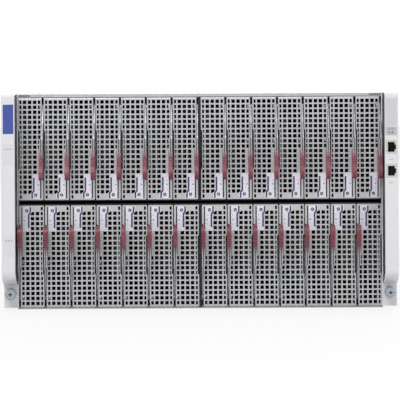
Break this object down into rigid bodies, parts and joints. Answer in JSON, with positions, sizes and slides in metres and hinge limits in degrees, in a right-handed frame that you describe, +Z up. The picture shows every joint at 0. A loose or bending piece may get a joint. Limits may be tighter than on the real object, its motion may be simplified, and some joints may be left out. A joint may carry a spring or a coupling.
{
  "type": "blade server chassis",
  "caption": "Rack-mount blade server enclosure with two rows of sliding server blades, hinged ejector levers and rear hot-swap modules.",
  "frame": {"origin": "bottom centre of the whole part's box", "axes": "+Z up, the blade faces look along -Y, +X to the viewer's right"},
  "size_m": [0.4826, 0.9171, 0.264],
  "materials": {
    "enclosure_steel": "galvanised sheet",
    "ear_paint": "satin paint",
    "module_metal": "plain sheet",
    "blade_steel": "perforated face sheet",
    "lever": "moulded grip on a steel plate"
  },
  "bodies": {
    "chassis": {"enclosure": "enclosure_steel", "front_ears": "ear_paint", "power_modules": "module_metal", "switch_modules": "module_metal"},
    "blade_upper_01": {"blade_upper_01": "blade_steel"},
    "lever_upper_01": {"lever_upper_01": "lever"},
    "blade_upper_02": {"blade_upper_02": "blade_steel"},
    "lever_upper_02": {"lever_upper_02": "lever"},
    "blade_upper_03": {"blade_upper_03": "blade_steel"},
    "lever_upper_03": {"lever_upper_03": "lever"},
    "blade_upper_04": {"blade_upper_04": "blade_steel"},
    "lever_upper_04": {"lever_upper_04": "lever"},
    "blade_upper_05": {"blade_upper_05": "blade_steel"},
    "lever_upper_05": {"lever_upper_05": "lever"},
    "blade_upper_06": {"blade_upper_06": "blade_steel"},
    "lever_upper_06": {"lever_upper_06": "lever"},
    "blade_upper_07": {"blade_upper_07": "blade_steel"},
    "lever_upper_07": {"lever_upper_07": "lever"},
    "blade_upper_08": {"blade_upper_08": "blade_steel"},
    "lever_upper_08": {"lever_upper_08": "lever"},
    "blade_upper_09": {"blade_upper_09": "blade_steel"},
    "lever_upper_09": {"lever_upper_09": "lever"},
    "blade_upper_10": {"blade_upper_10": "blade_steel"},
    "lever_upper_10": {"lever_upper_10": "lever"},
    "blade_upper_11": {"blade_upper_11": "blade_steel"},
    "lever_upper_11": {"lever_upper_11": "lever"},
    "blade_upper_12": {"blade_upper_12": "blade_steel"},
    "lever_upper_12": {"lever_upper_12": "lever"},
    "blade_upper_13": {"blade_upper_13": "blade_steel"},
    "lever_upper_13": {"lever_upper_13": "lever"},
    "blade_upper_14": {"blade_upper_14": "blade_steel"},
    "lever_upper_14": {"lever_upper_14": "lever"},
    "blade_lower_01": {"blade_lower_01": "blade_steel"},
    "lever_lower_01": {"lever_lower_01": "lever"},
    "blade_lower_02": {"blade_lower_02": "blade_steel"},
    "lever_lower_02": {"lever_lower_02": "lever"},
    "blade_lower_03": {"blade_lower_03": "blade_steel"},
    "lever_lower_03": {"lever_lower_03": "lever"},
    "blade_lower_04": {"blade_lower_04": "blade_steel"},
    "lever_lower_04": {"lever_lower_04": "lever"},
    "blade_lower_05": {"blade_lower_05": "blade_steel"},
    "lever_lower_05": {"lever_lower_05": "lever"},
    "blade_lower_06": {"blade_lower_06": "blade_steel"},
    "lever_lower_06": {"lever_lower_06": "lever"},
    "blade_lower_07": {"blade_lower_07": "blade_steel"},
    "lever_lower_07": {"lever_lower_07": "lever"},
    "blade_lower_08": {"blade_lower_08": "blade_steel"},
    "lever_lower_08": {"lever_lower_08": "lever"},
    "blade_lower_09": {"blade_lower_09": "blade_steel"},
    "lever_lower_09": {"lever_lower_09": "lever"},
    "blade_lower_10": {"blade_lower_10": "blade_steel"},
    "lever_lower_10": {"lever_lower_10": "lever"},
    "blade_lower_11": {"blade_lower_11": "blade_steel"},
    "lever_lower_11": {"lever_lower_11": "lever"},
    "blade_lower_12": {"blade_lower_12": "blade_steel"},
    "lever_lower_12": {"lever_lower_12": "lever"},
    "blade_lower_13": {"blade_lower_13": "blade_steel"},
    "lever_lower_13": {"lever_lower_13": "lever"},
    "blade_lower_14": {"blade_lower_14": "blade_steel"},
    "lever_lower_14": {"lever_lower_14": "lever"}
  },
  "joints": [
    {"name": "blade_upper_01_slide", "type": "slide", "parent": "chassis", "child": "blade_upper_01", "axis": [0, -1, 0], "range_m": [0, 0.5]},
    {"name": "blade_upper_02_slide", "type": "slide", "parent": "chassis", "child": "blade_upper_02", "axis": [0, -1, 0], "range_m": [0, 0.5]},
    {"name": "blade_upper_03_slide", "type": "slide", "parent": "chassis", "child": "blade_upper_03", "axis": [0, -1, 0], "range_m": [0, 0.5]},
    {"name": "blade_upper_04_slide", "type": "slide", "parent": "chassis", "child": "blade_upper_04", "axis": [0, -1, 0], "range_m": [0, 0.5]},
    {"name": "blade_upper_05_slide", "type": "slide", "parent": "chassis", "child": "blade_upper_05", "axis": [0, -1, 0], "range_m": [0, 0.5]},
    {"name": "blade_upper_06_slide", "type": "slide", "parent": "chassis", "child": "blade_upper_06", "axis": [0, -1, 0], "range_m": [0, 0.5]},
    {"name": "blade_upper_07_slide", "type": "slide", "parent": "chassis", "child": "blade_upper_07", "axis": [0, -1, 0], "range_m": [0, 0.5]},
    {"name": "blade_upper_08_slide", "type": "slide", "parent": "chassis", "child": "blade_upper_08", "axis": [0, -1, 0], "range_m": [0, 0.5]},
    {"name": "blade_upper_09_slide", "type": "slide", "parent": "chassis", "child": "blade_upper_09", "axis": [0, -1, 0], "range_m": [0, 0.5]},
    {"name": "blade_upper_10_slide", "type": "slide", "parent": "chassis", "child": "blade_upper_10", "axis": [0, -1, 0], "range_m": [0, 0.5]},
    {"name": "blade_upper_11_slide", "type": "slide", "parent": "chassis", "child": "blade_upper_11", "axis": [0, -1, 0], "range_m": [0, 0.5]},
    {"name": "blade_upper_12_slide", "type": "slide", "parent": "chassis", "child": "blade_upper_12", "axis": [0, -1, 0], "range_m": [0, 0.5]},
    {"name": "blade_upper_13_slide", "type": "slide", "parent": "chassis", "child": "blade_upper_13", "axis": [0, -1, 0], "range_m": [0, 0.5]},
    {"name": "blade_upper_14_slide", "type": "slide", "parent": "chassis", "child": "blade_upper_14", "axis": [0, -1, 0], "range_m": [0, 0.5]},
    {"name": "blade_lower_01_slide", "type": "slide", "parent": "chassis", "child": "blade_lower_01", "axis": [0, -1, 0], "range_m": [0, 0.5]},
    {"name": "blade_lower_02_slide", "type": "slide", "parent": "chassis", "child": "blade_lower_02", "axis": [0, -1, 0], "range_m": [0, 0.5]},
    {"name": "blade_lower_03_slide", "type": "slide", "parent": "chassis", "child": "blade_lower_03", "axis": [0, -1, 0], "range_m": [0, 0.5]},
    {"name": "blade_lower_04_slide", "type": "slide", "parent": "chassis", "child": "blade_lower_04", "axis": [0, -1, 0], "range_m": [0, 0.5]},
    {"name": "blade_lower_05_slide", "type": "slide", "parent": "chassis", "child": "blade_lower_05", "axis": [0, -1, 0], "range_m": [0, 0.5]},
    {"name": "blade_lower_06_slide", "type": "slide", "parent": "chassis", "child": "blade_lower_06", "axis": [0, -1, 0], "range_m": [0, 0.5]},
    {"name": "blade_lower_07_slide", "type": "slide", "parent": "chassis", "child": "blade_lower_07", "axis": [0, -1, 0], "range_m": [0, 0.5]},
    {"name": "blade_lower_08_slide", "type": "slide", "parent": "chassis", "child": "blade_lower_08", "axis": [0, -1, 0], "range_m": [0, 0.5]},
    {"name": "blade_lower_09_slide", "type": "slide", "parent": "chassis", "child": "blade_lower_09", "axis": [0, -1, 0], "range_m": [0, 0.5]},
    {"name": "blade_lower_10_slide", "type": "slide", "parent": "chassis", "child": "blade_lower_10", "axis": [0, -1, 0], "range_m": [0, 0.5]},
    {"name": "blade_lower_11_slide", "type": "slide", "parent": "chassis", "child": "blade_lower_11", "axis": [0, -1, 0], "range_m": [0, 0.5]},
    {"name": "blade_lower_12_slide", "type": "slide", "parent": "chassis", "child": "blade_lower_12", "axis": [0, -1, 0], "range_m": [0, 0.5]},
    {"name": "blade_lower_13_slide", "type": "slide", "parent": "chassis", "child": "blade_lower_13", "axis": [0, -1, 0], "range_m": [0, 0.5]},
    {"name": "blade_lower_14_slide", "type": "slide", "parent": "chassis", "child": "blade_lower_14", "axis": [0, -1, 0], "range_m": [0, 0.5]},
    {"name": "lever_upper_01_pivot", "type": "hinge", "parent": "blade_upper_01", "child": "lever_upper_01", "pos_m": [-0.19295, -0.4095, 0.2484], "axis": [-1, 0, 0], "range_deg": [0, 65]},
    {"name": "lever_upper_02_pivot", "type": "hinge", "parent": "blade_upper_02", "child": "lever_upper_02", "pos_m": [-0.16125, -0.4095, 0.2484], "axis": [-1, 0, 0], "range_deg": [0, 65]},
    {"name": "lever_upper_03_pivot", "type": "hinge", "parent": "blade_upper_03", "child": "lever_upper_03", "pos_m": [-0.12955, -0.4095, 0.2484], "axis": [-1, 0, 0], "range_deg": [0, 65]},
    {"name": "lever_upper_04_pivot", "type": "hinge", "parent": "blade_upper_04", "child": "lever_upper_04", "pos_m": [-0.09785, -0.4095, 0.2484], "axis": [-1, 0, 0], "range_deg": [0, 65]},
    {"name": "lever_upper_05_pivot", "type": "hinge", "parent": "blade_upper_05", "child": "lever_upper_05", "pos_m": [-0.06615, -0.4095, 0.2484], "axis": [-1, 0, 0], "range_deg": [0, 65]},
    {"name": "lever_upper_06_pivot", "type": "hinge", "parent": "blade_upper_06", "child": "lever_upper_06", "pos_m": [-0.03445, -0.4095, 0.2484], "axis": [-1, 0, 0], "range_deg": [0, 65]},
    {"name": "lever_upper_07_pivot", "type": "hinge", "parent": "blade_upper_07", "child": "lever_upper_07", "pos_m": [-0.00275, -0.4095, 0.2484], "axis": [-1, 0, 0], "range_deg": [0, 65]},
    {"name": "lever_upper_08_pivot", "type": "hinge", "parent": "blade_upper_08", "child": "lever_upper_08", "pos_m": [0.03155, -0.4095, 0.2484], "axis": [-1, 0, 0], "range_deg": [0, 65]},
    {"name": "lever_upper_09_pivot", "type": "hinge", "parent": "blade_upper_09", "child": "lever_upper_09", "pos_m": [0.06325, -0.4095, 0.2484], "axis": [-1, 0, 0], "range_deg": [0, 65]},
    {"name": "lever_upper_10_pivot", "type": "hinge", "parent": "blade_upper_10", "child": "lever_upper_10", "pos_m": [0.09495, -0.4095, 0.2484], "axis": [-1, 0, 0], "range_deg": [0, 65]},
    {"name": "lever_upper_11_pivot", "type": "hinge", "parent": "blade_upper_11", "child": "lever_upper_11", "pos_m": [0.12665, -0.4095, 0.2484], "axis": [-1, 0, 0], "range_deg": [0, 65]},
    {"name": "lever_upper_12_pivot", "type": "hinge", "parent": "blade_upper_12", "child": "lever_upper_12", "pos_m": [0.15835, -0.4095, 0.2484], "axis": [-1, 0, 0], "range_deg": [0, 65]},
    {"name": "lever_upper_13_pivot", "type": "hinge", "parent": "blade_upper_13", "child": "lever_upper_13", "pos_m": [0.19005, -0.4095, 0.2484], "axis": [-1, 0, 0], "range_deg": [0, 65]},
    {"name": "lever_upper_14_pivot", "type": "hinge", "parent": "blade_upper_14", "child": "lever_upper_14", "pos_m": [0.22175, -0.4095, 0.2484], "axis": [-1, 0, 0], "range_deg": [0, 65]},
    {"name": "lever_lower_01_pivot", "type": "hinge", "parent": "blade_lower_01", "child": "lever_lower_01", "pos_m": [-0.22175, -0.4095, 0.0132], "axis": [1, 0, 0], "range_deg": [0, 65]},
    {"name": "lever_lower_02_pivot", "type": "hinge", "parent": "blade_lower_02", "child": "lever_lower_02", "pos_m": [-0.19005, -0.4095, 0.0132], "axis": [1, 0, 0], "range_deg": [0, 65]},
    {"name": "lever_lower_03_pivot", "type": "hinge", "parent": "blade_lower_03", "child": "lever_lower_03", "pos_m": [-0.15835, -0.4095, 0.0132], "axis": [1, 0, 0], "range_deg": [0, 65]},
    {"name": "lever_lower_04_pivot", "type": "hinge", "parent": "blade_lower_04", "child": "lever_lower_04", "pos_m": [-0.12665, -0.4095, 0.0132], "axis": [1, 0, 0], "range_deg": [0, 65]},
    {"name": "lever_lower_05_pivot", "type": "hinge", "parent": "blade_lower_05", "child": "lever_lower_05", "pos_m": [-0.09495, -0.4095, 0.0132], "axis": [1, 0, 0], "range_deg": [0, 65]},
    {"name": "lever_lower_06_pivot", "type": "hinge", "parent": "blade_lower_06", "child": "lever_lower_06", "pos_m": [-0.06325, -0.4095, 0.0132], "axis": [1, 0, 0], "range_deg": [0, 65]},
    {"name": "lever_lower_07_pivot", "type": "hinge", "parent": "blade_lower_07", "child": "lever_lower_07", "pos_m": [-0.03155, -0.4095, 0.0132], "axis": [1, 0, 0], "range_deg": [0, 65]},
    {"name": "lever_lower_08_pivot", "type": "hinge", "parent": "blade_lower_08", "child": "lever_lower_08", "pos_m": [0.00275, -0.4095, 0.0132], "axis": [1, 0, 0], "range_deg": [0, 65]},
    {"name": "lever_lower_09_pivot", "type": "hinge", "parent": "blade_lower_09", "child": "lever_lower_09", "pos_m": [0.03445, -0.4095, 0.0132], "axis": [1, 0, 0], "range_deg": [0, 65]},
    {"name": "lever_lower_10_pivot", "type": "hinge", "parent": "blade_lower_10", "child": "lever_lower_10", "pos_m": [0.06615, -0.4095, 0.0132], "axis": [1, 0, 0], "range_deg": [0, 65]},
    {"name": "lever_lower_11_pivot", "type": "hinge", "parent": "blade_lower_11", "child": "lever_lower_11", "pos_m": [0.09785, -0.4095, 0.0132], "axis": [1, 0, 0], "range_deg": [0, 65]},
    {"name": "lever_lower_12_pivot", "type": "hinge", "parent": "blade_lower_12", "child": "lever_lower_12", "pos_m": [0.12955, -0.4095, 0.0132], "axis": [1, 0, 0], "range_deg": [0, 65]},
    {"name": "lever_lower_13_pivot", "type": "hinge", "parent": "blade_lower_13", "child": "lever_lower_13", "pos_m": [0.16125, -0.4095, 0.0132], "axis": [1, 0, 0], "range_deg": [0, 65]},
    {"name": "lever_lower_14_pivot", "type": "hinge", "parent": "blade_lower_14", "child": "lever_lower_14", "pos_m": [0.19295, -0.4095, 0.0132], "axis": [1, 0, 0], "range_deg": [0, 65]}
  ]
}
